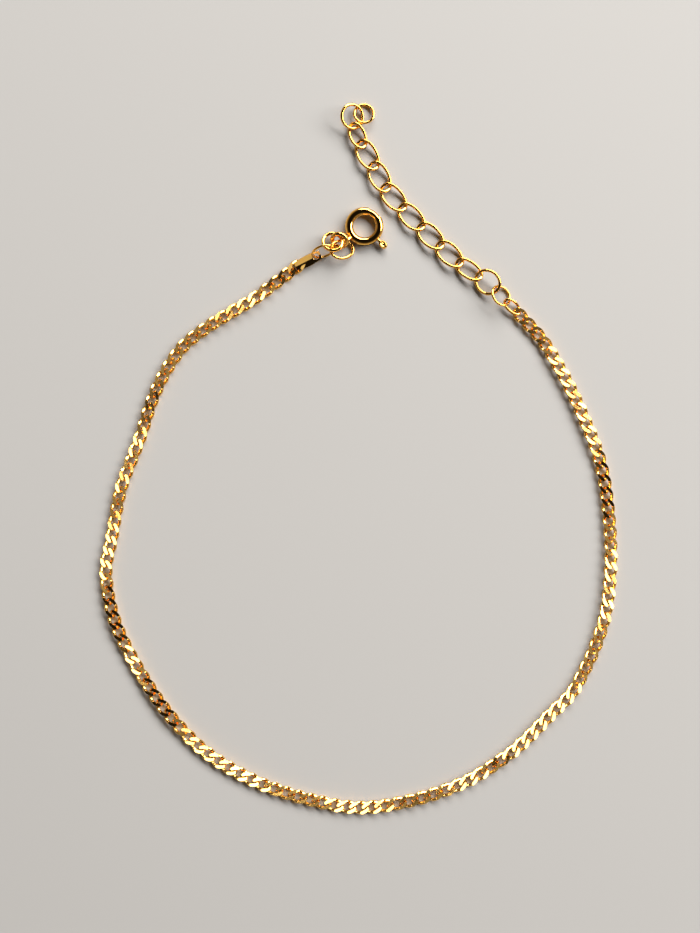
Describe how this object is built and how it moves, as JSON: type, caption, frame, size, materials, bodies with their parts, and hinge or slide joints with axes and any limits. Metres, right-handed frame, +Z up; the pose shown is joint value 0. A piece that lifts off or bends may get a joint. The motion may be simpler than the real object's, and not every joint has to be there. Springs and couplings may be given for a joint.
{
  "type": "chain anklet",
  "caption": "Fine flat-cut curb chain anklet with a spring ring clasp and a tail of oval extender links, lying open in a loop.",
  "frame": {"origin": "middle of the lying anklet's box, on the surface that it rests on", "axes": "+Z up from the surface, +Y towards the clasp and the free tail, +X to the side where the extender starts"},
  "size_m": [0.0804, 0.1104, 0.0031],
  "materials": {
    "chain_gold": "gold plated, polished and flat cut",
    "ring_gold": "gold plated, polished",
    "clasp_gold": "gold plated, high polish"
  },
  "bodies": {
    "chain": {"curb_chain_left": "chain_gold", "curb_chain_right": "chain_gold", "end_plate": "chain_gold", "plate_ring": "ring_gold", "clasp_ring_upper": "ring_gold", "clasp_ring_lower": "ring_gold", "clasp_body": "clasp_gold", "joining_link": "ring_gold", "extender_ring": "ring_gold", "extender_round_link": "ring_gold", "extender_link_1": "ring_gold", "extender_link_2": "ring_gold", "extender_link_3": "ring_gold", "extender_link_4": "ring_gold", "extender_link_5": "ring_gold", "extender_link_6": "ring_gold", "extender_link_7": "ring_gold", "extender_link_8": "ring_gold", "tail_ring_large": "ring_gold", "tail_ring_small": "ring_gold"},
    "lever": {"clasp_lever": "clasp_gold"}
  },
  "joints": [
    {"name": "clasp_lever_slide", "type": "hinge", "parent": "chain", "child": "lever", "pos_m": [0.00089, 0.03596, 0.00065], "axis": [0, 0, -1], "range_deg": [0, 50], "stiffness_Nm_per_rad": 0.00015, "springref_deg": -28.65}
  ]
}
